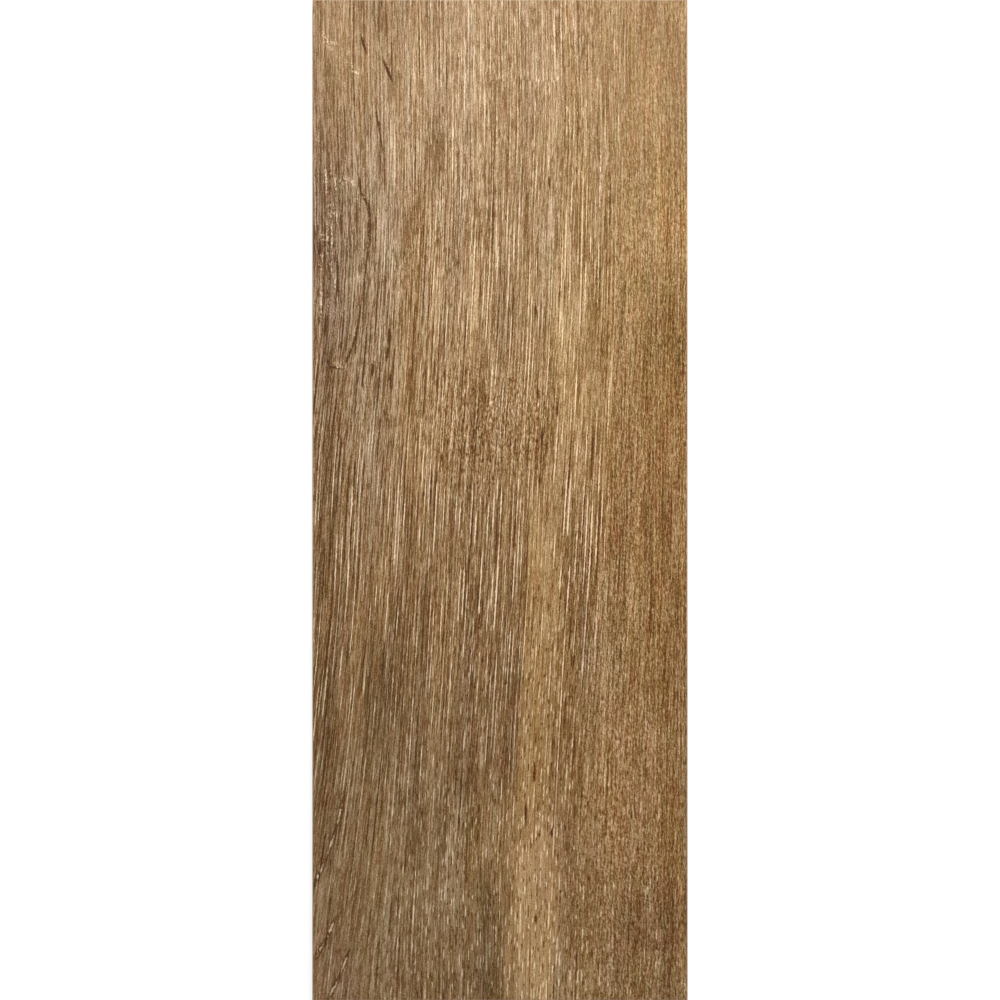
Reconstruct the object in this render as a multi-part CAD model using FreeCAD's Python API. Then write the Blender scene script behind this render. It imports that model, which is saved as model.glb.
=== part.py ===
import FreeCAD, Part
import math
import os

# Wood-look porcelain plank tile: one slab, dry-pressed, printed, fired and then ground square.
# X runs across the plank, Y along its grain, and Z up out of the walking face.
# The origin is the middle of the back, on the plane that the back's ribs and rim lie in.

# Driving dimensions, in millimetres and degrees
FACE_WIDTH = 225.0
FACE_LENGTH = 600.0
THICKNESS = 9.0

# Edges: the sides are ground square, with a fine bevel round the face and a wider one round the back
FACE_BEVEL = 0.6
BACK_BEVEL = 1.0

# Back: a lattice of pressed recesses that adhesive keys into, with ribs between and a plain rim round them
RECESS_PITCH = 30.0
RIB_WIDTH = 6.0
RECESS_DEPTH = 0.8
RECESS_CORNER = 4.0
RECESS_DRAFT = 50.0
LEAST_RIM = 9.0

# How far a recess's cutting shape reaches out past the back
OVERCUT = 0.5


def rounded_rectangle(side_x, side_y, corner, height):
    """A closed wire of four sides and four corner arcs, centred on Z at the given height."""
    inner_x = side_x / 2 - corner
    inner_y = side_y / 2 - corner
    corner_centres = ((inner_x, inner_y), (-inner_x, inner_y), (-inner_x, -inner_y), (inner_x, -inner_y))

    def on_corner(index, degrees):
        centre_x, centre_y = corner_centres[index]
        angle = math.radians(degrees)
        return FreeCAD.Vector(centre_x + corner * math.cos(angle), centre_y + corner * math.sin(angle), height)

    edges = []
    for index in range(len(corner_centres)):
        first = 90 * index
        arc = Part.Arc(on_corner(index, first), on_corner(index, first + 45), on_corner(index, first + 90))
        edges.append(arc.toShape())
        following = (index + 1) % len(corner_centres)
        side = Part.LineSegment(on_corner(index, first + 90), on_corner(following, first + 90))
        edges.append(side.toShape())
    return Part.Wire(edges)


def edges_at(solid, height):
    """The edges of a solid that lie flat at one height."""
    def lies_there(edge):
        return all(abs(vertex.Z - height) < 1e-6 for vertex in edge.Vertexes)

    return [edge for edge in solid.Edges if lies_there(edge)]


def slab():
    """The ground slab: square sides, a fine bevel round the face and a wider one round the back."""
    corner = FreeCAD.Vector(-FACE_WIDTH / 2, -FACE_LENGTH / 2, 0)
    block = Part.makeBox(FACE_WIDTH, FACE_LENGTH, THICKNESS, corner)
    block = block.makeChamfer(FACE_BEVEL, edges_at(block, THICKNESS))
    return block.makeChamfer(BACK_BEVEL, edges_at(block, 0))


def recess():
    """One recess's cutting shape: it narrows from the back to its floor at the press tool's draft."""
    mouth = RECESS_PITCH - RIB_WIDTH
    spread = math.tan(math.radians(RECESS_DRAFT))

    def section(height):
        narrowing = height * spread
        side = mouth - 2 * narrowing
        return rounded_rectangle(side, side, RECESS_CORNER - narrowing, height)

    return Part.makeLoft([section(-OVERCUT), section(RECESS_DEPTH)], True, True)


def places_along(length):
    """Centres of as many recesses as fit between the rims of one side, evenly about its middle."""
    count = int((length - 2 * LEAST_RIM + RIB_WIDTH) // RECESS_PITCH)
    return [(index - (count - 1) / 2) * RECESS_PITCH for index in range(count)]


def recess_lattice():
    """The cutting shapes of the whole back, one for each crossing of the two rows of places."""
    one = recess()
    copies = []
    for x in places_along(FACE_WIDTH):
        for y in places_along(FACE_LENGTH):
            copies.append(one.translated(FreeCAD.Vector(x, y, 0)))
    return copies


plank_tile = slab().cut(recess_lattice()).Solids[0]

os.makedirs("parts", exist_ok=True)
plank_tile.exportStep("parts/plank_tile.step")

print("recesses:", len(places_along(FACE_WIDTH)), "across,", len(places_along(FACE_LENGTH)), "along")
print("valid:", plank_tile.isValid(), "closed:", plank_tile.isClosed(), "faces:", len(plank_tile.Faces))
print("volume, cm3:", round(plank_tile.Volume / 1000, 2))
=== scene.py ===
# %% [markdown]
# # A wood-look porcelain plank tile
# The tile is one slab of fired porcelain, 225 by 600 by 9 mm. A press gives its face a shallow
# wood-grain relief and its back a lattice of recesses, a printer lays the picture of oak on the face,
# and after firing its sides are ground square. In this lesson one closed mesh stands for that slab,
# and three materials give it its printed face, its ground sides and its pressed back.

# %% The frame
import math
from types import SimpleNamespace

import bmesh
import bpy
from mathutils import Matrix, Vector


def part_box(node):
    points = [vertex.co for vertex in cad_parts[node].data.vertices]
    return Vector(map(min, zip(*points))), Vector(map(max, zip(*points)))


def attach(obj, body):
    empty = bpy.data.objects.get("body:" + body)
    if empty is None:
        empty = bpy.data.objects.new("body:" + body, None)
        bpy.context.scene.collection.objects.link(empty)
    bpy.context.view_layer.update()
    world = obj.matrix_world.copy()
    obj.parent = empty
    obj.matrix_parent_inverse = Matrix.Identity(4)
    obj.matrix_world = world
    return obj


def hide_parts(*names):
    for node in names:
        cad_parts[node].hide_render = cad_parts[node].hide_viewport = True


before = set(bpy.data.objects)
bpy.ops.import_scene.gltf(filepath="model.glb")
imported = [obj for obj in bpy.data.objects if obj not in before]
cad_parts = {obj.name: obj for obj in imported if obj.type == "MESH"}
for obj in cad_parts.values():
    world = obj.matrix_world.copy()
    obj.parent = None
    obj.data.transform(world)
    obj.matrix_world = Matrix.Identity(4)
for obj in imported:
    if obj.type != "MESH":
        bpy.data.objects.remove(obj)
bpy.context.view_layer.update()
low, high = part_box("plank_tile")
width, length, thickness = high - low
print("tile, mm:", [round(1000 * side, 2) for side in (width, length, thickness)])

# %% [markdown]
# ## The face
# The face carries long, shallow ridges that run with the grain. Ridges need vertices, so the face
# starts as a grid. A grid of square cells would waste most of them: the ridges are about a millimetre
# wide and many centimetres long, so the columns are narrow and the rows are long.

# %% Grid of the face
MILLIMETRE = 0.001
FACE_BEVEL = 0.6 * MILLIMETRE
FACE_COLUMNS = 600
FACE_ROWS = 140

slab = bmesh.new()
face = bmesh.ops.create_grid(slab, x_segments=FACE_COLUMNS, y_segments=FACE_ROWS, size=0.5)
face_size = (width - 2 * FACE_BEVEL, length - 2 * FACE_BEVEL, 1)
bmesh.ops.scale(slab, vec=face_size, verts=face["verts"])
bmesh.ops.translate(slab, vec=(0, 0, high.z), verts=face["verts"])
printed_faces = slab.faces[:]
cell = (face_size[0] / FACE_COLUMNS / MILLIMETRE, face_size[1] / FACE_ROWS / MILLIMETRE)
print("face cells:", len(printed_faces), "each, mm:", [round(side, 2) for side in cell])

# %% [markdown]
# ## The sides
# A real tile of this kind is ground square after firing, with a fine bevel round the face and a wider
# one round the back. Each of these is one ring of faces. Extruding the open border and moving the new
# ring gives the bevel, the side and the back's bevel one after another, and the rings share every
# vertex with the face.

# %% Rings of the bevels and the side
BACK_BEVEL = 1.0 * MILLIMETRE


def ring_below(inset, height):
    """Extrudes the open border to a ring that lies so far in from the tile's outline, at that height."""
    border = [edge for edge in slab.edges if edge.is_boundary]
    made = bmesh.ops.extrude_edge_only(slab, edges=border)["geom"]
    corners = [part for part in made if isinstance(part, bmesh.types.BMVert)]
    reach_x = max(corner.co.x for corner in corners)
    reach_y = max(corner.co.y for corner in corners)
    stretch = ((width / 2 - inset) / reach_x, (length / 2 - inset) / reach_y, 1)
    bmesh.ops.scale(slab, vec=stretch, verts=corners)
    for corner in corners:
        corner.co.z = height
    for edge in border:
        edge.smooth = False
    return [part for part in made if isinstance(part, bmesh.types.BMFace)]


ground_faces = ring_below(0, high.z - FACE_BEVEL)
ground_faces += ring_below(0, low.z + BACK_BEVEL)
ring_below(BACK_BEVEL, low.z)
print("faces of the ground sides:", len(ground_faces))

# %% [markdown]
# ## The back
# The back is a lattice of shallow square recesses with round corners, for the adhesive to key into.
# One recess is a square with its four corners rounded by a vertex bevel, copied along both sides. An
# inset with a depth then pushes each floor in and leaves the sloping walls that a press tool needs.
# Last, the flat ribs and rim are filled in between the recesses and the border, which closes the mesh.

# %% Recesses of the back
RECESS_PITCH = 30 * MILLIMETRE
RECESS_MOUTH = 24 * MILLIMETRE
RECESS_CORNER = 4 * MILLIMETRE
CORNER_SEGMENTS = 4
LEAST_RIM = 9 * MILLIMETRE


def places_along(side):
    """Centres of as many recesses as fit between the rims of one side."""
    count = int((side - 2 * LEAST_RIM + RECESS_PITCH - RECESS_MOUTH) / RECESS_PITCH)
    return [(index - (count - 1) / 2) * RECESS_PITCH for index in range(count)]


square = bmesh.ops.create_grid(slab, x_segments=1, y_segments=1, size=RECESS_MOUTH / 2)["verts"]
bmesh.ops.translate(slab, vec=(0, 0, low.z), verts=square)
rounded = bmesh.ops.bevel(
    slab,
    geom=square,
    offset=RECESS_CORNER,
    affect="VERTICES",
    segments=CORNER_SEGMENTS,
    profile=0.5,
    material=-1,
)
pattern = rounded["verts"][0].link_faces[0]
recess_floors = []
for x in places_along(width):
    for y in places_along(length):
        copied = bmesh.ops.duplicate(slab, geom=[pattern, *pattern.edges, *pattern.verts])["geom"]
        corners = [part for part in copied if isinstance(part, bmesh.types.BMVert)]
        bmesh.ops.translate(slab, vec=(x, y, 0), verts=corners)
        recess_floors += [part for part in copied if isinstance(part, bmesh.types.BMFace)]
bmesh.ops.delete(slab, geom=[pattern], context="FACES")
print("recesses:", len(recess_floors))

# %% Walls, ribs and rim of the back
RECESS_DEPTH = 0.8 * MILLIMETRE
RECESS_DRAFT = math.radians(50)

bmesh.ops.reverse_faces(slab, faces=recess_floors)
walls = bmesh.ops.inset_individual(
    slab,
    faces=recess_floors,
    thickness=RECESS_DEPTH * math.tan(RECESS_DRAFT),
    depth=-RECESS_DEPTH,
    use_even_offset=True,
)["faces"]
open_edges = [edge for edge in slab.edges if edge.is_boundary]
bmesh.ops.triangle_fill(slab, edges=open_edges, use_beauty=True, normal=(0, 0, -1))
for edge in open_edges:
    edge.smooth = False
print("open edges left:", len([edge for edge in slab.edges if not edge.is_manifold]))

# %% [markdown]
# ## One mesh, three finishes
# The real tile is one piece, so it stays one mesh. A material index on each face says which of three
# finishes it will get. The printed face and the sloping walls are shaded smooth, and the edges that
# were marked sharp on the way keep every bevel crisp.

# %% The slab as an object
PRINT, GROUND, PRESSED = range(3)
for part in slab.faces:
    part.material_index = PRESSED
for part in ground_faces:
    part.material_index = GROUND
for part in printed_faces:
    part.material_index = PRINT
for part in printed_faces + walls:
    part.smooth = True
bmesh.ops.recalc_face_normals(slab, faces=slab.faces)
tile_mesh = bpy.data.meshes.new("wood_look_plank_tile")
slab.to_mesh(tile_mesh)
slab.free()
tile = bpy.data.objects.new("wood_look_plank_tile", tile_mesh)
bpy.context.scene.collection.objects.link(tile)
tile_mesh.calc_loop_triangles()
print("triangles:", len(tile_mesh.loop_triangles))

# %% [markdown]
# ## A bench for nodes
# Both the relief and the print are drawn by nodes, and both need the same grain. A small class keeps
# the wiring short: each method adds one node or a few, feeds them numbers or other nodes' outputs, and
# gives the last output back.

# %% Node bench
# How far apart two seeds lie in the noise
SEED_STEP = (17.3, 9.1)


class Bench:
    """A node tree to wire on."""

    def __init__(self, tree):
        self.tree = tree

    def node(self, kind, **settings):
        """A new node with these settings."""
        made = self.tree.nodes.new(kind)
        for name, value in settings.items():
            setattr(made, name, value)
        return made

    def feed(self, socket, value):
        """Links another node's output to a socket, or sets a plain value there."""
        if isinstance(value, bpy.types.NodeSocket):
            self.tree.links.new(value, socket)
        else:
            socket.default_value = value

    def maths(self, operation, *values):
        """One operation on numbers."""
        made = self.node("ShaderNodeMath", operation=operation)
        for socket, value in zip(made.inputs, values):
            self.feed(socket, value)
        return made.outputs[0]

    def vectors(self, operation, *values):
        """One operation on vectors."""
        made = self.node("ShaderNodeVectorMath", operation=operation)
        for socket, value in zip(made.inputs, values):
            self.feed(socket, value)
        return made.outputs["Value" if operation == "LENGTH" else "Vector"]

    def split(self, vector):
        """The three numbers of a vector."""
        made = self.node("ShaderNodeSeparateXYZ")
        self.feed(made.inputs[0], vector)
        return list(made.outputs)

    def join(self, *numbers):
        """A vector of up to three numbers."""
        made = self.node("ShaderNodeCombineXYZ")
        for socket, number in zip(made.inputs, numbers):
            self.feed(socket, number)
        return made.outputs[0]

    def add(self, *values):
        """The sum of the values."""
        total = values[0]
        for value in values[1:]:
            total = self.maths("ADD", total, value)
        return total

    def times(self, *values):
        """The product of the values."""
        product = values[0]
        for value in values[1:]:
            product = self.maths("MULTIPLY", product, value)
        return product

    def plus(self, total, value, gain):
        """The total, with so many times the value added to it."""
        return self.maths("MULTIPLY_ADD", value, gain, total)

    def ease(self, value, start, end, low=0.0, high=1.0):
        """Goes smoothly from low to high while the value goes from start to end."""
        made = self.node("ShaderNodeMapRange", interpolation_type="SMOOTHSTEP")
        numbers = {"Value": value, "From Min": start, "From Max": end, "To Min": low, "To Max": high}
        for name, number in numbers.items():
            self.feed(made.inputs[name], number)
        return made.outputs["Result"]

    def blend(self, share, low, high):
        """Goes smoothly from low to high while the share goes from nought to one."""
        return self.ease(share, 0, 1, low, high)

    def noise(self, place, scale, detail, dimensions="3D"):
        """Cloud noise from nought to one."""
        made = self.node("ShaderNodeTexNoise", noise_dimensions=dimensions)
        for name, value in (("Vector", place), ("Scale", scale), ("Detail", detail)):
            self.feed(made.inputs[name], value)
        return made.outputs[0]

    def flecks(self, place, across, along, seed, detail=1.0):
        """Cloud noise about nought, in flecks of about so many millimetres across and along."""
        shift = (SEED_STEP[0] * seed, SEED_STEP[1] * seed, 0)
        scaled = self.vectors("MULTIPLY_ADD", place, (1 / across, 1 / along, 0), shift)
        return self.maths("SUBTRACT", self.noise(scaled, 1.0, detail, "2D"), 0.5)


# %% [markdown]
# ## The flow of the grain
# On an oak board the fibres run lengthwise, but not quite straight: here they lean a few degrees in
# the lower half and swell round the knot at the left edge. So each place on the face gets a strand,
# the millimetre across the far end where the fibre through that place starts. Every pattern that is
# drawn over the strand, instead of over X, follows the fibres by itself.

# %% Strands
# All in millimetres
LEAN = 24.0
CORNER_LEAN = 22.0
KNOT_HEIGHT = 140.0
KNOT_SWELL = -3.0
WAVER = 3.0


def strand_at(bench, place):
    """The strand that runs through a place on the face, both in millimetres."""
    x, y, _ = bench.split(place)
    lean = bench.times(bench.ease(y, 240, -320, 0, LEAN), bench.ease(x, 25, 112, 1, 0.25))
    corner = bench.times(bench.ease(y, -60, -420, 0, CORNER_LEAN), bench.ease(x, -40, -112))
    from_knot = bench.maths("ABSOLUTE", bench.maths("SUBTRACT", y, KNOT_HEIGHT))
    swell = bench.times(bench.ease(from_knot, 130, 0, 0, KNOT_SWELL), bench.ease(x, -20, -90))
    waver = bench.times(bench.flecks(place, 60, 150, 1), WAVER)
    return bench.add(x, lean, corner, swell, waver)


# %% [markdown]
# ## Strokes
# The growth rings and the pores show as broken strokes along the strands: pale lines that run for
# centimetres, and dashes and dark pores of a few millimetres. A noise texture alone gives blurred
# streaks. Here the strands are cut into columns, a dice roll for each column sets where its stroke
# lies and how wide it is, and the noise only decides which lengths of it show, so that the sides of
# every stroke stay crisp.

# %% Stroke group
# Pitch, run and width are in millimetres. A higher cut leaves less of a stroke showing.
STROKES = {
    "long pale": {"Pitch": 2.4, "Run": 40, "Width": 0.72, "Cut": 0.46, "Seed": 100.3},
    "long dark": {"Pitch": 2.8, "Run": 45, "Width": 0.8, "Cut": 0.48, "Seed": 300.7},
    "pale dash": {"Pitch": 1.8, "Run": 9, "Width": 0.72, "Cut": 0.51, "Seed": 200.1},
    "dark dash": {"Pitch": 1.6, "Run": 6, "Width": 0.8, "Cut": 0.55, "Seed": 400.9},
}
# How softly a stroke ends, by how many runs the dice move it, and how far apart columns lie in the noise
STROKE_FADE = 0.16
STROKE_SCATTER = 60
COLUMN_STEP = 5.7


def stroke_group(kind):
    """A node group that draws broken strokes, one to a column of the strands, with flanks beside them."""
    tree = bpy.data.node_groups.new("Grain strokes", kind)
    for name in ("Strand", "Along", "Pitch", "Run", "Width", "Cut", "Seed"):
        tree.interface.new_socket(name, in_out="INPUT", socket_type="NodeSocketFloat")
    for name in ("Stroke", "Flank"):
        tree.interface.new_socket(name, in_out="OUTPUT", socket_type="NodeSocketFloat")
    bench = Bench(tree)
    start = bench.node("NodeGroupInput").outputs
    ring = bench.add(bench.maths("DIVIDE", start["Strand"], start["Pitch"]), start["Seed"])
    column = bench.maths("FLOOR", ring)
    dice = bench.node("ShaderNodeTexWhiteNoise", noise_dimensions="1D")
    bench.feed(dice.inputs["W"], column)
    place_roll, width_roll, along_roll = bench.split(dice.outputs["Color"])
    middle = bench.plus(0.3, place_roll, 0.4)
    off = bench.maths("ABSOLUTE", bench.maths("SUBTRACT", bench.maths("FRACT", ring), middle))
    half_width = bench.times(start["Width"], bench.plus(0.35, width_roll, 0.35))
    off = bench.maths("DIVIDE", bench.times(off, start["Pitch"]), half_width)
    along = bench.maths("DIVIDE", start["Along"], start["Run"])
    along = bench.plus(along, along_roll, STROKE_SCATTER)
    level = bench.flecks(bench.join(bench.times(column, COLUMN_STEP), along), 1, 1, 0)
    shown = bench.ease(bench.add(level, 0.5), start["Cut"], bench.add(start["Cut"], STROKE_FADE))
    end = bench.node("NodeGroupOutput")
    bench.feed(end.inputs["Stroke"], bench.times(bench.ease(off, 1.1, 0.3), shown))
    # The flank is the groove beside a stroke: sunk in the relief, and darkened in the print as painted
    # shade
    beside = bench.maths("ABSOLUTE", bench.maths("SUBTRACT", off, 1.9))
    bench.feed(end.inputs["Flank"], bench.times(bench.ease(beside, 0.9, 0.2), shown))
    return tree


STROKE_GROUPS = {kind: stroke_group(kind) for kind in ("GeometryNodeTree", "ShaderNodeTree")}


def strokes(bench, name, strand, along):
    """Places the stroke group with the values of one kind of stroke, and gives its outputs."""
    kind = bench.tree.bl_idname
    made = bench.node(kind.replace("Tree", "Group"), node_tree=STROKE_GROUPS[kind])
    bench.feed(made.inputs["Strand"], strand)
    bench.feed(made.inputs["Along"], along)
    for socket, value in STROKES[name].items():
        made.inputs[socket].default_value = value
    return made.outputs


print("stroke nodes:", len(STROKE_GROUPS["ShaderNodeTree"].nodes))

# %% [markdown]
# ## Broad tints and painted light
# Under the strokes lie broad patches where the wood is lighter or darker, more golden or more grey.
# Painted light lies among them: the print grows lighter towards the far end, where the lamp stands, and a
# few wide patches hold painted sheen and painted shade.
# They change slowly, so they need no texture of their own: Geometry Nodes works them out at every
# vertex of the face and stores them there as an attribute, which the material reads. That is done
# once, not for every ray of light.

# %% Patches
# Each patch: middle and half size in millimetres, tone, warmth, redness
PATCHES = (
    (-102, -285, 21, 45, 0, -0.4, 0.25),
    (-105, 144, 15, 90, -0.08, -1.4, 0.1),
    (-98.5, 129, 4, 47, -0.03, 0, 0),
    (-80, 130, 22, 150, 0, -0.9, -0.15),
    (-67, 150, 9, 60, 0.02, 0, 0),
    (-72, 294, 15, 15, -0.09, -0.3, 0),
    (-103, 250, 14, 45, -0.02, -0.5, 0),
    (-105, 194, 12, 24, -0.03, -0.2, 0),
    (-100, 288, 12, 20, 0.045, 0, 0),
    (-48, 255, 9, 47, 0.05, 0, 0),
    (-66, 218, 26, 38, 0.03, 0, 0),
    (-76, 165, 10, 24, 0.025, 0, 0),
    (18, 135, 10, 26, 0.02, 0.3, -0.2),
    (-18, 252, 15, 70, 0.055, 0, 0),
    # Painted light: lighter in the middle of the far end, under the lamp
    (6, 294, 28, 18, 0.03, 0, 0),
    (24, 204, 17, 130, 0.03, 0, 0),
    (48, 270, 5, 17, -0.07, -0.4, 0.3),
    (48, 180, 7, 100, -0.015, 0, 0),
    (101, 177, 11, 47, 0.025, 0.6, 0),
    (99, 90, 19, 47, -0.075, 0.3, -0.2),
    (94, 25, 20, 45, -0.035, 0, 0.2),
    (94, 282, 20, 36, -0.045, -0.2, 0),
    (54, 205, 26, 40, 0.022, 0, 0),
    (36, 111, 9, 70, 0.065, 0.2, -0.15),
    (43, 110, 12, 110, 0.035, 0.3, 0),
    (42, 70, 9, 26, 0.05, 0, 0),
    (-45, 45, 40, 55, 0, 0.45, 0),
    (-104, 48, 12, 32, 0.03, 0, 0),
    (-18, 129, 8.5, 55, 0.065, 0, 0),
    (-36, 90, 9, 117, 0.03, 0, 0),
    (-15, 45, 13, 58, -0.035, 0, 0.1),
    (22, 36, 7, 31, -0.04, 0, 0.1),
    (-33, 18, 5, 25, 0.06, 0, 0),
    (-104, -69, 12, 187, -0.07, -0.35, -0.1),
    (-73, -114, 15, 58, -0.075, -0.6, -0.1),
    (-54, -130, 14, 100, -0.062, -0.2, 0),
    (-30, -150, 9, 35, -0.025, 0, 0),
    (-30, -235, 9, 34, 0.03, 0, 0),
    (-30, -294, 12, 16, -0.055, -0.3, 0),
    (-18, -99, 14, 40, -0.04, -0.3, 0),
    (-16, -165, 12, 40, -0.03, -0.3, 0),
    (-12, -102, 32, 100, -0.02, -0.4, 0),
    (10, -18, 3, 25, -0.06, 0, 0),
    (22, -45, 7, 62, 0.02, 0.1, 0),
    (42, -30, 12, 38, -0.058, 0, 0),
    (23, -255, 18, 70, 0.04, 0.2, 0),
    (6, -135, 7, 62, -0.05, -0.3, 0),
    (-9, -258, 13, 44, -0.06, -0.5, -0.3),
    (48, -258, 5, 27, -0.04, 0, 0),
    (45, -290, 26, 24, 0.075, 0, 0),
    (18, -240, 12, 65, 0.04, 0, 0),
    (-7, -291, 14, 20, -0.1, -0.4, -0.2),
    (-54, -258, 12, 30, -0.025, 0, 0),
    (48, -60, 8, 55, -0.02, -0.5, 0.1),
    (42, -105, 8, 32, -0.055, 0, 0),
    (18, -45, 10, 45, -0.03, 0, 0),
    (63, -120, 8, 109, 0.045, 0.3, 0),
    (80, -171, 24, 66, 0.02, 0.15, 0.4),
    (28, -215, 24, 45, 0, -0.4, 0.3),
    (99, -45, 17, 97, -0.045, 0.3, 0),
    (93, -252, 25, 31, -0.06, -0.7, 0.25),
    (68, -245, 12, 60, 0.02, 0, 0.1),
    (98, -294, 16, 14, -0.03, -0.5, 0),
    (75, 168, 55, 156, 0, 0.4, -0.15),
    (84, 12, 47, 94, 0, 0.3, 0.1),
    (0, -330, 140, 110, -0.01, -0.4, 0),
    (-60, -210, 70, 130, 0, -0.5, -0.3),
    # Painted shade: darker over the lower half, where the lamp's light falls off
    (-10, -110, 130, 130, -0.022, 0, 0),
    # Painted sheen: greyer over the upper part, where the lamp's sheen whitens the glaze
    (20, 190, 130, 90, 0, -0.35, 0),
    (30, 40, 30, 60, 0, 0.4, 0),
    # Painted sheen: greyer still at the far end, nearest the lamp
    (0, 340, 140, 110, 0, -0.5, 0),
    (67, -21, 7, 8, 0, 0.3, 0.9),
    (-116, -20, 36, 420, -0.03, 0, 0),
    (116, -20, 16, 420, -0.03, 0, 0),
    (111.5, 160, 2.5, 50, 0.03, 1.2, 0.4),
)

# How far the outlines of patches are moved about, in millimetres
LOOSE_ACROSS = 7
LOOSE_ALONG = 36


def patch(bench, place, middle_x, middle_y, half_x, half_y):
    """How far a place lies within a soft oval: 1 in the middle, 0 outside."""
    way = bench.vectors("SUBTRACT", place, (middle_x, middle_y, 0))
    way = bench.vectors("DIVIDE", way, (half_x, half_y, 1))
    return bench.ease(bench.vectors("LENGTH", way), 1.25, 0.2)


def loosened(bench, place, strands):
    """The place, moved about a little along the strands, so that patches get frayed outlines."""
    across = bench.times(bench.flecks(strands, 5, 60, 11, 2), LOOSE_ACROSS)
    along = bench.times(bench.flecks(strands, 4, 40, 12), LOOSE_ALONG)
    return bench.vectors("ADD", place, bench.join(across, along))


print("patches:", len(PATCHES))

# %% Tints
BASE_TONE = 0.478
# Painted light: how much lighter the print grows per millimetre towards the far end
PAINTED_LIGHT_PER_MILLIMETRE = 0.0001
WARMTH_PER_MILLIMETRE = 0.004
GOLDEN_TONE = 0.085
GOLDEN_WARMTH = 0.9


def golden_at(bench, strand, along):
    """The golden band of the lower half, whose crisp left side follows the grain."""
    side = bench.add(bench.ease(along, 0, -120, 27.5, 29.8), bench.ease(along, -190, -300, 0, -4))
    inwards = bench.maths("SUBTRACT", strand, side)
    full_width = bench.ease(along, -170, -240, 12, 23)
    fading = bench.ease(inwards, bench.add(full_width, 14), full_width)
    return bench.times(bench.ease(inwards, -1, 1.2), fading, bench.ease(along, 30, -40))


def tint_and_painted_light_at(bench, loose, strands, golden):
    """Tone, warmth and redness of the wood under its strokes, with painted light, painted sheen and
    painted shade among them.
    """
    x, y, _ = bench.split(loose)
    # Painted light: lighter towards the far end, darker towards the near end
    tone = bench.plus(BASE_TONE, y, PAINTED_LIGHT_PER_MILLIMETRE)
    tone = bench.plus(tone, bench.flecks(strands, 6, 200, 15, 3), 0.2)
    tone = bench.plus(tone, golden, GOLDEN_TONE)
    warmth = bench.plus(bench.times(golden, GOLDEN_WARMTH), x, WARMTH_PER_MILLIMETRE)
    warmth = bench.plus(warmth, bench.flecks(strands, 9, 110, 13, 2), 2)
    redness = bench.times(bench.flecks(strands, 4, 18, 14, 1), bench.ease(x, 40, 90, 2, 3))
    for *oval, lighter, warmer, redder in PATCHES:
        mask = patch(bench, loose, *oval)
        tone = bench.plus(tone, mask, lighter)
        warmth = bench.plus(warmth, mask, warmer)
        redness = bench.plus(redness, mask, redder)
    return bench.join(tone, warmth, redness)


# %% [markdown]
# ## Where the wood changes
# The board isn't one texture. The upper half is finely lined, the lower half is dashed, the right side
# is short and speckled like cork, and two spots in the middle are full of pores. Each of these is a
# share between nought and about one, stored beside the tints, that says how strongly the material
# draws its strokes there.

# %% Shares of lines, dashes and cork
# Where the wood is full of short dark pores: middle and half size, and how full
PORE_PATCHES = (
    (-18, 44, 32, 50, 0.9),
    (16, 46, 22, 40, 0.9),
)

# Where the long lines stand out more or less than elsewhere: middle and half size, and how much
LINED_PATCHES = (
    (-5, 92, 62, 50, 0.32),
    (52, -30, 18, 42, 0.28),
    (-46, -92, 24, 45, -0.3),
)


def pores_at(bench, loose):
    """The share of pores."""
    porous = 0.0
    for *oval, fullness in PORE_PATCHES:
        porous = bench.plus(porous, patch(bench, loose, *oval), fullness)
    return porous


def shares_at(bench, place, strands):
    """Shares of long lines, of dashes and of cork."""
    strand, along, _ = bench.split(strands)
    x, _, _ = bench.split(place)
    edge = bench.plus(strand, bench.flecks(strands, 14, 120, 2), 40)
    cork = bench.ease(edge, 48, 88)
    middle_height = bench.ease(bench.maths("ABSOLUTE", bench.add(along, 75)), 150, 60, 0.62, 1)
    beside_knot = bench.ease(x, -90, -10, bench.ease(along, 60, 0, 0.55, 0.8), 1)
    at_bottom = bench.ease(along, -70, -220, 1, bench.ease(x, -60, 0, 0.75, 0.4))
    at_top = bench.ease(along, 120, 230)
    lined = bench.times(middle_height, at_bottom, beside_knot, bench.blend(at_top, 1, 0.75))
    lined = bench.times(lined, bench.ease(cork, 0, 0.8, 1, 0.15))
    for *oval, stronger in LINED_PATCHES:
        lined = bench.plus(lined, bench.times(patch(bench, place, *oval), stronger), lined)
    dashed = bench.plus(bench.ease(along, 40, -180, 0.3, 1.15), at_top, 0.35)
    dashed = bench.times(dashed, bench.blend(cork, 1, 0.5))
    dashed = bench.times(dashed, bench.ease(x, -90, -25, 0.35, 1))
    return bench.join(lined, dashed, cork)


# %% [markdown]
# ## The relief
# The press plate sinks the soft wood and the pores a few tenths of a millimetre below the walking
# plane, and leaves the late-wood lines standing. A bump in the material would only shade that. Here
# the Geometry Nodes modifier that stores the tints also lowers the face's own vertices, and the result
# is kept as a plain mesh.

# %% Depth of the relief
RELIEF_DEPTH = 0.22 * MILLIMETRE


def sunk_by(bench, strands):
    """How far the face lies below the walking plane, in metres."""
    strand, along, _ = bench.split(strands)
    pale = strokes(bench, "long pale", strand, along)
    dark = strokes(bench, "long dark", strand, along)
    height = bench.plus(0.45, bench.flecks(strands, 1.9, 60, 18), 1.2)
    height = bench.plus(height, pale["Stroke"], 0.4)
    height = bench.plus(height, pale["Flank"], -0.2)
    height = bench.plus(height, dark["Stroke"], -0.4)
    return bench.join(0, 0, bench.blend(height, -RELIEF_DEPTH, 0))


# %% Oak board modifier
# Turns a place in metres into one in millimetres, flat on the face
IN_MILLIMETRES = (1 / MILLIMETRE, 1 / MILLIMETRE, 0)


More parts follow.
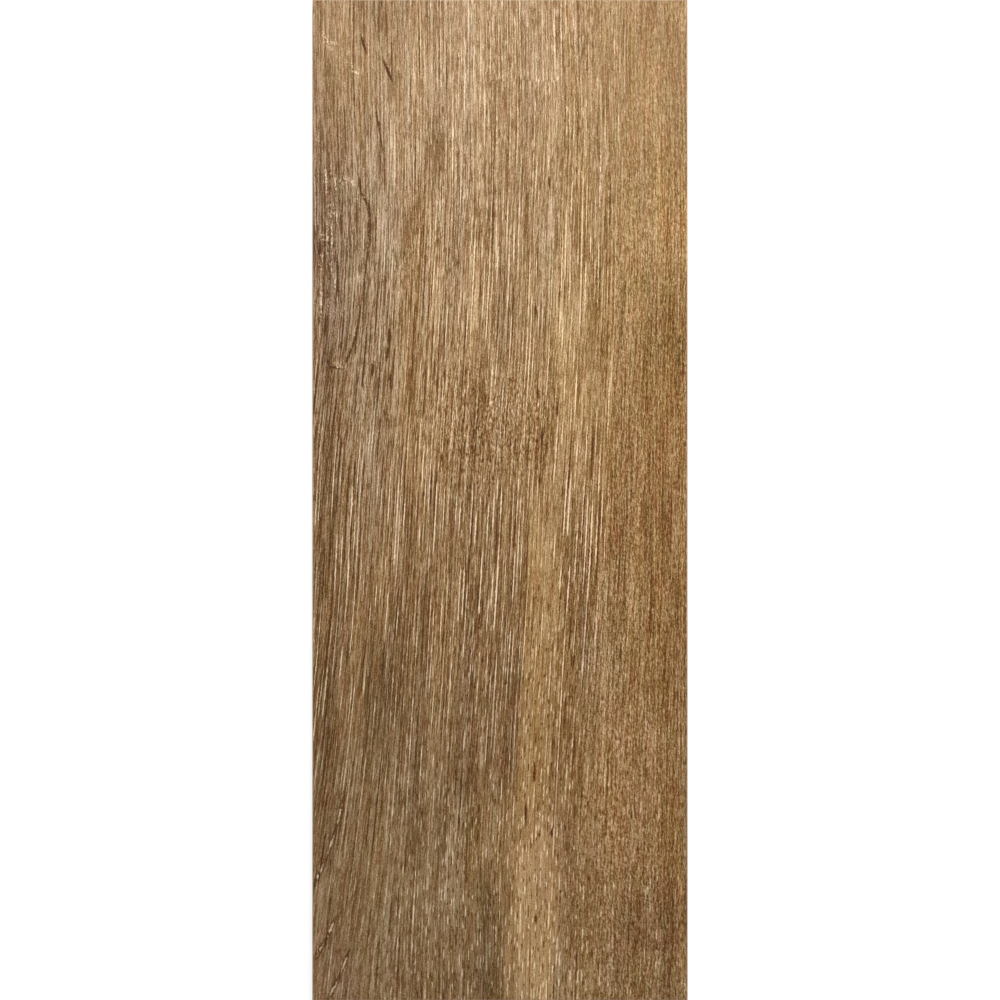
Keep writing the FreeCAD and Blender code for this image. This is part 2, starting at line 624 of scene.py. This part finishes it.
def board_tree():
    """A node tree that stores the strands, the tints and the shares, and presses the relief."""
    tree = bpy.data.node_groups.new("Oak board", "GeometryNodeTree")
    tree.interface.new_socket("Geometry", in_out="INPUT", socket_type="NodeSocketGeometry")
    tree.interface.new_socket("Geometry", in_out="OUTPUT", socket_type="NodeSocketGeometry")
    bench = Bench(tree)
    board = bench.node("NodeGroupInput").outputs[0]
    vertex = bench.node("GeometryNodeInputPosition").outputs[0]
    place = bench.vectors("MULTIPLY", vertex, IN_MILLIMETRES)
    strand = strand_at(bench, place)
    along = bench.split(place)[1]
    strands = bench.join(strand, along)
    loose = loosened(bench, place, strands)
    golden = golden_at(bench, strand, along)
    stored = {
        "oak_strand": bench.join(strand, pores_at(bench, loose), golden),
        # These tints carry painted light as well as the wood's own tints
        "oak_tint_and_painted_light": tint_and_painted_light_at(bench, loose, strands, golden),
        "oak_shares": shares_at(bench, place, strands),
    }
    for name, value in stored.items():
        store = bench.node("GeometryNodeStoreNamedAttribute", data_type="FLOAT_VECTOR", domain="POINT")
        bench.feed(store.inputs["Geometry"], board)
        store.inputs["Name"].default_value = name
        bench.feed(store.inputs["Value"], value)
        board = store.outputs["Geometry"]
    press = bench.node("GeometryNodeSetPosition")
    on_face = bench.maths("GREATER_THAN", bench.split(vertex)[2], high.z - FACE_BEVEL / 2)
    bench.feed(press.inputs["Geometry"], board)
    bench.feed(press.inputs["Selection"], on_face)
    bench.feed(press.inputs["Offset"], sunk_by(bench, strands))
    bench.feed(bench.node("NodeGroupOutput").inputs[0], press.outputs[0])
    return tree


# %% Pressing the face
pressing = tile.modifiers.new("oak board", "NODES")
pressing.node_group = board_tree()
pressed = tile.evaluated_get(bpy.context.evaluated_depsgraph_get())
pressed_mesh = bpy.data.meshes.new_from_object(pressed)
tile.modifiers.clear()
tile.data = pressed_mesh
tile.data.name = "wood_look_plank_tile"
heights = sorted(vertex.co.z for vertex in tile.data.vertices if vertex.co.z > high.z - FACE_BEVEL / 2)
print("relief, mm:", [round((value - high.z) / MILLIMETRE, 3) for value in (heights[0], heights[-1])])
attribute_names = [attribute.name for attribute in tile.data.attributes]
print("stored:", [name for name in attribute_names if name.startswith("oak")])

# %% [markdown]
# ## The print
# The picture of oak is built up as a printer's film would be: the broad tints, the fine grain, the
# strokes, and last the marks that make this board this board. All tones are added in display units and
# turned into light at the end, because the wood's lights and darks lie evenly apart there. The first
# step reads what the board stores and keeps it all under one name, wood.

# %% Wood at a place


def wood_at(bench):
    """What the board stores at a place on its face, with the place itself in millimetres."""

    def stored(name):
        return bench.split(bench.node("ShaderNodeAttribute", attribute_name=name).outputs["Vector"])

    wood = SimpleNamespace()
    wood.strand, wood.porous, wood.golden = stored("oak_strand")
    wood.tone, wood.warmth, wood.redness = stored("oak_tint_and_painted_light")
    wood.lined, wood.dashed, wood.cork = stored("oak_shares")
    metres = bench.node("ShaderNodeTexCoord").outputs["Object"]
    wood.place = bench.vectors("MULTIPLY", metres, IN_MILLIMETRES)
    wood.along = bench.split(wood.place)[1]
    return wood


# %% [markdown]
# ## Fine grain
# Fibres, crumbs and specks are finer than the face's vertices, so they are noise in the material,
# drawn out along the strands. Straight strands would look ruled, so their sides are frayed first. Near
# the far end the print has a jagged break, past which the grain goes on a little to one side: a step
# added to the strands moves all that is drawn over them.

# %% Frayed strands
# All in millimetres
FRAYING = 0.45
BREAK_HEIGHT = 251
BREAK_SHIFT = 1.3


def fray(bench, wood):
    """Frays the sides of the strands, and shifts them past the break of the print."""
    frayed = bench.plus(wood.strand, bench.flecks(wood.place, 1, 2, 8, 0), FRAYING)
    strands = bench.join(wood.strand, wood.along)
    shuffled = bench.plus(wood.along, bench.flecks(strands, 0.9, 60, 21, 0), 14)
    break_height = bench.plus(BREAK_HEIGHT, bench.flecks(strands, 1.3, 400, 25), 6)
    past_break = bench.maths("GREATER_THAN", wood.along, break_height)
    beside = bench.times(bench.ease(wood.strand, -10, -7), bench.ease(wood.strand, 36, 32))
    wood.frayed = bench.plus(frayed, bench.times(past_break, beside), BREAK_SHIFT)
    wood.fibres = bench.join(wood.frayed, shuffled)


# %% Fibres, crumbs and specks


def grow_fibres(bench, wood):
    """Long and short fibres, weaker on the golden band and at the near end, stronger by the knot."""
    wood.near_end = bench.times(bench.ease(wood.along, -120, -220), bench.ease(wood.strand, -85, -55))
    long_ones = bench.times(bench.flecks(wood.fibres, 1.05, 45, 9), bench.blend(wood.cork, 1.1, 0.9))
    long_ones = bench.times(long_ones, bench.blend(wood.near_end, 1, 0.8))
    short_ones = bench.times(bench.flecks(wood.fibres, 0.85, 6, 7), bench.blend(wood.near_end, 1, 1.15))
    fibre = bench.ease(bench.add(long_ones, short_ones), -0.2, 0.2, -0.1, 0.1)
    wood.calm = bench.blend(wood.golden, 1, 0.6)
    knot_side = bench.ease(wood.strand, 0, -30)
    by_knot = bench.times(knot_side, bench.ease(wood.along, -20, 60), bench.ease(wood.along, 260, 180))
    fibre = bench.times(fibre, bench.blend(wood.cork, 1, 0.95), wood.calm, bench.blend(by_knot, 1, 1.25))
    wood.fibre = bench.times(fibre, bench.blend(wood.near_end, 1, 0.87))


def fine_grain(bench, wood):
    """The tone with the fibres on it, and with crumbs and specks where the wood is brittle."""
    grow_fibres(bench, wood)
    across = bench.plus(wood.strand, wood.along, 0.05)
    slanted = bench.join(across, bench.plus(wood.along, wood.strand, 0.43))
    brittle = bench.maths("MAXIMUM", wood.cork, wood.porous)
    crumbly = bench.plus(bench.blend(wood.cork, 0.1, 0.44), wood.porous, 0.52)
    crumb = bench.times(bench.flecks(slanted, 0.75, 2.6, 19), crumbly)
    wood.speck = bench.flecks(slanted, 0.65, 1, 17, 0)
    specks = bench.times(wood.speck, bench.blend(brittle, 0.26, 0.3))
    return bench.add(wood.tone, wood.fibre, crumb, specks)


# %% [markdown]
# ## Lines and dashes
# The stroke group that raised the relief now draws the print too, so that the pale lines of the
# picture stand on the ridges of the face. Each kind of stroke adds its own tone, as strongly as the
# shares say. Last, the whole grain is made bolder round the middle and fainter towards the ends.

# %% Strokes of the print
STROKE_TONES = {
    "long pale": 0.45,
    # Painted shade in the grooves beside the pale lines
    "painted flank shade": -0.12,
    "long dark": -0.26,
    "pale dash": 0.3,
    "dark dash": -0.22,
}


def with_lines(bench, wood, tone):
    """The tone with long pale lines, painted shade in the grooves beside them and long dark lines."""
    pale = strokes(bench, "long pale", wood.frayed, wood.along)
    lined = bench.times(wood.lined, wood.calm, bench.ease(wood.porous, 0, 0.8, 1, 0.45))
    tone = bench.plus(tone, bench.times(pale["Stroke"], lined), STROKE_TONES["long pale"])
    # Painted shade in the groove beside each pale line
    tone = bench.plus(tone, bench.times(pale["Flank"], lined), STROKE_TONES["painted flank shade"])
    dark = strokes(bench, "long dark", wood.frayed, wood.along)
    darkened = bench.times(dark["Stroke"], bench.blend(wood.cork, 1, 0.4), wood.calm)
    by_left_edge = bench.ease(wood.strand, -30, -70, 1, bench.ease(wood.along, -140, -80, 1, 1.6))
    darkened = bench.times(darkened, by_left_edge, bench.ease(wood.along, 100, 160, 1, 0.55))
    darkened = bench.times(darkened, bench.blend(wood.near_end, 1, 0.8))
    return bench.plus(tone, darkened, STROKE_TONES["long dark"])


def with_dashes(bench, wood, tone):
    """The tone with pale dashes and short dark pores."""
    pale = strokes(bench, "pale dash", wood.frayed, wood.along)
    flecked = bench.plus(wood.dashed, wood.porous, 0.35)
    flecked = bench.times(flecked, bench.blend(wood.near_end, 1, 1.15))
    tone = bench.plus(tone, bench.times(pale["Stroke"], flecked), STROKE_TONES["pale dash"])
    dark = strokes(bench, "dark dash", wood.frayed, wood.along)
    pores = bench.plus(bench.plus(wood.dashed, wood.porous, 0.75), wood.golden, 0.5)
    return bench.plus(tone, bench.times(dark["Stroke"], pores), STROKE_TONES["dark dash"])


def with_vigour(bench, wood, tone):
    """The tone with its grain bolder round the middle of the board and fainter towards its ends."""
    vigour = bench.ease(wood.along, 270, 130, bench.blend(wood.cork, 0.96, 0.78), 1.13)
    lower = bench.ease(wood.along, -60, -140, 1, bench.blend(wood.cork, 0.81, 0.94))
    vigour = bench.times(vigour, lower)
    left_corner = bench.ease(wood.along, -210, -280, 1, bench.ease(wood.strand, -30, -70, 1, 0.86))
    vigour = bench.times(vigour, left_corner)
    return bench.plus(wood.tone, bench.maths("SUBTRACT", tone, wood.tone), vigour)


# %% [markdown]
# ## Marks
# What tells this board from the next are its marks: a knot by the left edge with a broken dark outline
# and crumbs of pale wood, clefts below it, dark pits, and a few lines that stand out. Each is a slender
# oval, given by its two ends and its width. A Mapping node lays such an oval over the unit ball of a
# Gradient Texture, which tells how near its middle a place is, so a mark costs only three nodes.

# %% Pits and lines
# Each mark: its two ends and its width, in millimetres from the face's middle
DARK_MARKS = (
    (-83, 277, -80.4, 269, 1.4),
    (-69.6, 263, -65.5, 253, 1.6),
    (-74.5, 235, -70, 208, 0.9),
    (-66.3, 102.5, -66.6, 93, 1.8),
    (-66.6, 93, -68, 84, 1.4),
    (-65.5, 76, -65.8, 68, 1.1),
    (-76.1, 81.5, -76.8, 75.5, 1.6),
    (-33, 81, -33.2, 69.5, 1.2),
    (-34.8, 25.8, -35.1, 23.4, 1.4),
    (21.2, 116, 21.5, 111, 1.3),
    (22.8, 66, 23.1, 61, 1.6),
    (34.2, 60, 34.5, 51.5, 1.3),
    (25.2, 42, 24.8, 35, 1.6),
    (24, 13, 24, 11, 1.4),
    (29.2, 194, 29.6, 188, 1.2),
    (20.6, -160, 20.5, -168, 1.4),
    (23.4, -199, 23.4, -201, 1.4),
    (31, -198, 31, -201, 1.3),
    (21.2, -250, 21.4, -253, 1.5),
    (15.4, -182, 15.2, -193, 1.1),
)

# Long pale lines of the grain that stand out by themselves
PALE_LINES = (
    (-1.6, 249, -2.4, 102, 0.9),
    (45, 289, 45.2, 258, 0.9),
    (60.6, 214, 60.2, 165, 1.0),
    (67, 96, 64, 27, 0.9),
    (58.8, -58, 56.4, -106, 0.9),
    (88.5, -212, 88.5, -264, 0.9),
    (-108.6, -24, -111, -60, 1.2),
    (-111.2, -58, -112, -100, 1.6),
)

# Long dark lines between them
DARK_LINES = (
    (-3.6, 249, -4.2, 130, 0.9),
    (46.6, 249, 46.2, 192, 1.0),
    (65.6, 216, 65.4, 150, 1.0),
)
print("pits:", len(DARK_MARKS), "lines:", len(PALE_LINES) + len(DARK_LINES))

# %% Knot and clefts
# The knot's broken outline, round from its top to its bottom, and the dark seams inside it
KNOT_DARKS = (
    (-84.2, 192, -83.4, 184, 1.6),
    (-83.4, 185, -79.4, 176.5, 1.4),
    (-78.7, 177, -78.2, 169, 2.0),
    (-78.2, 170, -78.3, 153, 2.2),
    (-78.3, 156, -79.4, 144, 1.6),
    (-80, 143, -80.9, 134, 1.2),
    (-81.3, 132, -82.6, 120, 1.3),
    (-83.4, 118, -84.7, 103, 1.0),
    (-85.9, 101, -88.6, 90.5, 1.7),
    (-88.4, 91, -92.8, 82, 1.4),
    (-103.6, 84, -102, 80.5, 1.5),
    (-101.5, 80, -95, 78.4, 1.2),
    (-97.6, 146, -96.7, 121, 1.3),
    (-95.5, 174, -95.3, 162, 1.0),
    (-108, 156, -108, 145, 1.4),
    (-104.5, 110, -105, 100, 1.2),
)

# Crumbs of pale wood in the knot and above it
KNOT_PALES = (
    (-104.1, 197, -103.2, 185, 1.4),
    (-101.2, 196.5, -98, 193, 1.2),
    (-98.4, 194, -97.8, 181, 1.2),
    (-95.8, 192.5, -94.3, 189, 1.6),
    (-93.3, 193.5, -90, 192, 1.4),
    (-89, 191.5, -87, 189.5, 1.5),
    (-102, 181, -101.4, 170, 1.4),
    (-100, 176.5, -97.4, 168.5, 1.8),
    (-104.2, 167.5, -100.4, 162, 1.6),
    (-106.2, 159.5, -104.4, 155.5, 2.2),
    (-104.8, 150, -107.2, 144.5, 2.0),
    (-102.4, 161, -103, 148, 1.2),
    (-100.3, 169, -100, 150, 1.0),
    (-107.6, 141.5, -106, 136.5, 1.6),
    (-101.4, 142.5, -99.9, 135.5, 1.4),
    (-107, 128, -106.6, 110, 1.0),
    (-102.6, 121, -102, 111.5, 1.3),
    (-97.9, 133, -98.5, 126, 1.2),
    (-102.4, 81.8, -99.5, 81, 2),
    (-98.8, 81, -95, 80, 2),
    (-93.4, 84, -92.8, 81, 1.4),
    (-105, 278, -102.5, 272, 1.8),
    (-103, 274, -98, 273.6, 1.2),
    (-102.3, 271.5, -100.6, 270, 1.4),
    (-90, 262, -86, 259, 1.8),
    (-88, 257, -84.5, 255.5, 1.4),
)

# Each cleft by the left edge, dark with a dashed pale filling
CLEFTS = (
    (-93.6, -178, -98.4, -198, 2.2),
    (-98.4, -198, -104.4, -215, 2.6),
    (-104.4, -215, -112, -232, 2.6),
    (-98.4, -250, -104.4, -264, 2.2),
    (-104.4, -264, -112, -276, 2.8),
    (-90.6, -271, -96, -285, 2.0),
    (-96, -285, -103, -299, 2.6),
)
print("marks of the knot:", len(KNOT_DARKS) + len(KNOT_PALES), "runs of the clefts:", len(CLEFTS))

# %% Distance from a mark
# How far round a mark its distance is still told, in half widths of the mark
REACH = 2.0


def nearest_of(bench, place, marks):
    """How far a place lies from the nearest of some slender ovals: 0 on its middle, 1 at its rim."""
    closest = 0.0
    for from_x, from_y, to_x, to_y, mark_width in marks:
        run = Vector((to_x - from_x, to_y - from_y))
        own = bench.node("ShaderNodeMapping", vector_type="TEXTURE")
        bench.feed(own.inputs["Vector"], place)
        own.inputs["Location"].default_value = ((from_x + to_x) / 2, (from_y + to_y) / 2, 0)
        own.inputs["Rotation"].default_value = (0, 0, math.atan2(run.y, run.x))
        half_length = (run.length + mark_width) / 2
        own.inputs["Scale"].default_value = (REACH * half_length, REACH * mark_width / 2, 1)
        ball = bench.node("ShaderNodeTexGradient", gradient_type="SPHERICAL")
        bench.feed(ball.inputs["Vector"], own.outputs[0])
        closest = bench.maths("MAXIMUM", ball.outputs["Fac"], closest)
    return bench.plus(REACH, closest, -REACH)


# %% Marks of the print
PIT_TONE = -0.34
PALE_LINE_TONE = 0.26
DARK_LINE_TONE = -0.2
CRUMB_TONE = 0.3
CRUMB_WARMTH = 0.6
CLEFT_TONE = -0.2
FILLING_TONE = 0.52


def with_knot_crumbs(bench, wood, tone, crumbs):
    """The tone with the scattered crumbs of pale wood, which are warmer too."""
    scatter = bench.join(bench.times(crumbs, 3), bench.times(wood.speck, 4))
    scattered = bench.vectors("ADD", wood.place, scatter)
    crumbled = bench.ease(nearest_of(bench, scattered, KNOT_PALES), 2, 0.6)
    crumbled = bench.times(crumbled, bench.ease(crumbs, -0.08, 0.12))
    tone = bench.plus(tone, crumbled, CRUMB_TONE)
    wood.warmth = bench.plus(wood.warmth, crumbled, CRUMB_WARMTH)
    return tone


def with_clefts(bench, wood, tone, near):
    """The tone with the dark clefts and the pale filling along their middles."""
    cleft = nearest_of(bench, near, CLEFTS)
    tone = bench.plus(tone, bench.ease(cleft, 1.4, 0.8), CLEFT_TONE)
    filled = bench.ease(bench.flecks(wood.place, 2, 3, 33), -0.16, -0.02)
    filling = bench.times(bench.ease(cleft, 0.8, 0.3), filled)
    return bench.plus(tone, filling, FILLING_TONE)


def with_marks(bench, wood, tone):
    """The tone with the pits, the lines, the knot and the clefts, all with crumbled outlines."""
    crumbs = bench.flecks(wood.place, 1.1, 1.6, 31)
    near = bench.vectors("ADD", wood.place, bench.join(crumbs, bench.times(wood.speck, 2)))
    broken = bench.ease(crumbs, -0.18, 0.08, 0.4, 1)
    seams = bench.times(bench.ease(nearest_of(bench, near, KNOT_DARKS), 1.5, 0.5, 0, 1.2), broken)
    pits = bench.ease(nearest_of(bench, near, DARK_MARKS), 1.7, 0.4, 0, 1.2)
    tone = bench.plus(tone, bench.maths("MAXIMUM", seams, pits), PIT_TONE)
    for marks, line_tone in ((PALE_LINES, PALE_LINE_TONE), (DARK_LINES, DARK_LINE_TONE)):
        lines = bench.times(bench.ease(nearest_of(bench, near, marks), 1.5, 0.4), broken)
        tone = bench.plus(tone, lines, line_tone)
    tone = with_knot_crumbs(bench, wood, tone, crumbs)
    return with_clefts(bench, wood, tone, near)


# %% [markdown]
# ## Colour
# Printed oak has few colours: its red, green and blue rise almost in step from dark to light, and
# warmth and redness shift them a little. So one tone makes the colour by three straight lines. A Gamma
# node at the end turns the display values into the light that a shader reckons with.

# %% Colour of the print
DARKEST_TONE = 0.18
PALEST_TONE = 0.9
TONE_SOFTNESS = 0.1
LEAST_CHANNEL = 0.04
DISPLAY_GAMMA = 2.2

# Each channel: gain and offset over the tone, and what a unit of warmth and one of redness add
CHANNELS = (
    (0.945, 0.134, 0.012, 0.016),
    (0.99, -0.019, -0.002, -0.012),
    (1.02, -0.188, -0.03, 0.002),
)


def display_colour(bench, channels):
    """The colour of three display values, for a shader."""
    mixed = bench.node("ShaderNodeCombineColor")
    for socket, channel in zip(mixed.inputs, channels):
        bench.feed(socket, channel)
    colour = bench.node("ShaderNodeGamma")
    bench.feed(colour.inputs["Color"], mixed.outputs[0])
    colour.inputs["Gamma"].default_value = DISPLAY_GAMMA
    return colour.outputs[0]


def print_colour(bench, wood, tone):
    """The colour of the print, whose darkest tones are less red and warmer."""
    tone = bench.maths("SMOOTH_MIN", tone, PALEST_TONE, TONE_SOFTNESS)
    tone = bench.maths("SMOOTH_MAX", tone, DARKEST_TONE, TONE_SOFTNESS)
    darkest = bench.ease(tone, 0.37, 0.24, 0, 0.5)
    redness = bench.maths("SUBTRACT", wood.redness, darkest)
    warmth = bench.add(wood.warmth, darkest)
    channels = []
    for gain, offset, warm, red in CHANNELS:
        channel = bench.plus(bench.plus(offset, tone, gain), warmth, warm)
        channel = bench.plus(channel, redness, red)
        channels.append(bench.maths("MAXIMUM", channel, LEAST_CHANNEL))
    return display_colour(bench, channels)


# %% Printed glaze
GLAZE_ROUGHNESS = 0.52
FIBRE_ROUGHNESS = 0.3
GLAZE_SPECULAR = 0.25
SPECK_BUMP = 0.1 * MILLIMETRE
SPECK_BUMP_STRENGTH = 0.35


def new_material(name):
    """A new material, a bench for its nodes, and its shader."""
    material = bpy.data.materials.new(name)
    material.use_nodes = True
    return material, Bench(material.node_tree), material.node_tree.nodes["Principled BSDF"]


def bumped(bench, shader, height, distance, strength=1.0):
    """Gives a shader a bump that is so many metres deep."""
    bump = bench.node("ShaderNodeBump")
    bump.inputs["Strength"].default_value = strength
    bump.inputs["Distance"].default_value = distance
    bench.feed(bump.inputs["Height"], height)
    bench.feed(shader.inputs["Normal"], bump.outputs[0])


def printed_glaze():
    """The matt glaze of the face: its printed colour, duller on pale fibres, with a fine bump."""
    material, bench, shader = new_material("printed oak glaze")
    wood = wood_at(bench)
    fray(bench, wood)
    tone = fine_grain(bench, wood)
    tone = with_lines(bench, wood, tone)
    tone = with_dashes(bench, wood, tone)
    tone = with_vigour(bench, wood, tone)
    tone = with_marks(bench, wood, tone)
    bench.feed(shader.inputs["Base Color"], print_colour(bench, wood, tone))
    bench.feed(shader.inputs["Roughness"], bench.plus(GLAZE_ROUGHNESS, wood.fibre, FIBRE_ROUGHNESS))
    shader.inputs["Specular IOR Level"].default_value = GLAZE_SPECULAR
    bumped(bench, shader, wood.speck, SPECK_BUMP, SPECK_BUMP_STRENGTH)
    print("printed glaze nodes:", len(material.node_tree.nodes))
    return material


# %% [markdown]
# ## The fired body
# The sides and the back show the porcelain body itself: a buff clay with fine dark specks. The sides
# carry the fine lines that a grinding wheel leaves along them, and the back the pale smears of dust
# from the kiln's rollers. Both share the body, so its colour is a node group that each material takes
# with its own wear.

# %% Body group
# How many clouds and how many grains lie in a metre of the clay
CLOUDS = 45
GRIT = 1500
# What the clay's colour adds to its tone in red, green and blue
BUFF = (0.06, -0.01, -0.1)


def body_group():
    """The colour and the roughened height of the fired clay, with wear drawn out as its scale says."""
    tree = bpy.data.node_groups.new("Fired body", "ShaderNodeTree")
    for name in ("Place", "Wear scale"):
        tree.interface.new_socket(name, in_out="INPUT", socket_type="NodeSocketVector")
    for name in ("Tone", "Wear tone"):
        tree.interface.new_socket(name, in_out="INPUT", socket_type="NodeSocketFloat")
    tree.interface.new_socket("Color", in_out="OUTPUT", socket_type="NodeSocketColor")
    tree.interface.new_socket("Height", in_out="OUTPUT", socket_type="NodeSocketFloat")
    bench = Bench(tree)
    start = bench.node("NodeGroupInput").outputs
    clouds = bench.noise(start["Place"], CLOUDS, 3)
    grit = bench.noise(start["Place"], GRIT, 1)
    drawn_out = bench.vectors("MULTIPLY", start["Place"], start["Wear scale"])
    wear = bench.ease(bench.noise(drawn_out, 1, 2), 0.4, 0.7)
    tone = bench.add(start["Tone"], -0.12)
    tone = bench.plus(tone, clouds, 0.14)
    tone = bench.plus(tone, grit, 0.1)
    tone = bench.plus(tone, bench.ease(grit, 0.66, 0.74), -0.14)
    tone = bench.plus(tone, wear, start["Wear tone"])
    colour = display_colour(bench, [bench.add(tone, offset) for offset in BUFF])
    end = bench.node("NodeGroupOutput")
    bench.feed(end.inputs["Color"], colour)
    bench.feed(end.inputs["Height"], bench.plus(grit, wear, 0.5))
    return tree


FIRED_BODY = body_group()
print("fired body nodes:", len(FIRED_BODY.nodes))

# %% Finishes of the tile
# How many streaks of wear lie in a metre along X, Y and Z
GRINDING_LINES = (20, 20, 4000)
ROLLER_SMEARS = (130, 9, 9)


def body_material(name, tone, wear_tone, wear_scale, roughness, bump_distance):
    """A finish of the bare body, with its own tone, wear and roughness."""
    material, bench, shader = new_material(name)
    body = bench.node("ShaderNodeGroup", node_tree=FIRED_BODY)
    bench.feed(body.inputs["Place"], bench.node("ShaderNodeTexCoord").outputs["Object"])
    body.inputs["Tone"].default_value = tone
    body.inputs["Wear tone"].default_value = wear_tone
    body.inputs["Wear scale"].default_value = wear_scale
    bench.feed(shader.inputs["Base Color"], body.outputs["Color"])
    shader.inputs["Roughness"].default_value = roughness
    shader.inputs["Specular IOR Level"].default_value = 0.3
    bumped(bench, shader, body.outputs["Height"], bump_distance)
    return material


for finish in (
    printed_glaze(),
    body_material("ground porcelain", 0.64, 0.05, GRINDING_LINES, 0.55, 0.05 * MILLIMETRE),
    body_material("pressed porcelain", 0.66, 0.1, ROLLER_SMEARS, 0.75, 0.1 * MILLIMETRE),
):
    tile.data.materials.append(finish)
print("finishes:", [slot.name for slot in tile.data.materials])

# %% [markdown]
# ## Floor, light and camera
# The tile lies on a plain pale floor under an even sky, with one soft lamp past its far end, so that
# the near end is a little darker. The floor and the sky look white to the camera and in reflections,
# but light the tile no more than a dim studio would: a Light Path node tells the two kinds of ray
# apart.

# %% Floor
FLOOR_SIDE = 8.0
FLOOR_GLOW = 0.6


def seen_rays(bench):
    """1 for a ray that the camera sees, straight, by reflection or through glass, and else 0."""
    path = bench.node("ShaderNodeLightPath").outputs
    seen = bench.maths("MAXIMUM", path["Is Camera Ray"], path["Is Glossy Ray"])
    return bench.maths("MAXIMUM", seen, path["Is Transmission Ray"])


floor_shape = bmesh.new()
bmesh.ops.create_grid(floor_shape, x_segments=1, y_segments=1, size=FLOOR_SIDE / 2)
bmesh.ops.translate(floor_shape, vec=(0, 0, low.z), verts=floor_shape.verts)
floor_mesh = bpy.data.meshes.new("floor")
floor_shape.to_mesh(floor_mesh)
floor_shape.free()
floor = bpy.data.objects.new("floor", floor_mesh)
bpy.context.scene.collection.objects.link(floor)

floor_material, bench, shader = new_material("pale floor")
shader.inputs["Base Color"].default_value = (0.8, 0.8, 0.8, 1)
shader.inputs["Roughness"].default_value = 0.9
shader.inputs["Emission Color"].default_value = (1, 1, 1, 1)
bench.feed(shader.inputs["Emission Strength"], bench.maths("MULTIPLY", seen_rays(bench), FLOOR_GLOW))
floor_mesh.materials.append(floor_material)
print("floor, m:", FLOOR_SIDE)

# %% Light
SKY = 0.3
LAMP_WATTS = 25
LAMP_PLACE = (0.3, 1.1, 1.0)
LAMP_SIZE = (1.2, 0.7)

world = bpy.data.worlds.new("soft sky")
bpy.context.scene.world = world
world.use_nodes = True
bench = Bench(world.node_tree)
background = world.node_tree.nodes["Background"]
background.inputs["Color"].default_value = (1, 1, 1, 1)
bench.feed(background.inputs["Strength"], bench.plus(SKY, seen_rays(bench), 1 - SKY))

lamp_data = bpy.data.lights.new("far lamp", "AREA")
lamp_data.shape = "RECTANGLE"
lamp_data.size, lamp_data.size_y = LAMP_SIZE
lamp_data.energy = LAMP_WATTS
lamp = bpy.data.objects.new("far lamp", lamp_data)
lamp.location = LAMP_PLACE
lamp.rotation_euler = (-Vector(LAMP_PLACE)).to_track_quat("-Z", "Y").to_euler()
bpy.context.scene.collection.objects.link(lamp)
print("lamp, W:", lamp_data.energy)

# %% Camera
LENS = 85.0
SHOWN_LENGTH = 0.599
camera_data = bpy.data.cameras.new("camera")
camera_data.lens = LENS
rise = SHOWN_LENGTH / camera_data.sensor_width * LENS
camera = bpy.data.objects.new("camera", camera_data)
camera.location = (0, 0, high.z + rise)
bpy.context.scene.collection.objects.link(camera)
bpy.context.scene.camera = camera
bpy.context.scene.view_settings.view_transform = "Standard"
print("camera height, m:", round(camera.location.z, 3))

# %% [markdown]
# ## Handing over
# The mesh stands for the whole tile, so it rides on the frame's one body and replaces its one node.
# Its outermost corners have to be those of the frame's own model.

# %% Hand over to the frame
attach(tile, "root")
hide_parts("plank_tile")
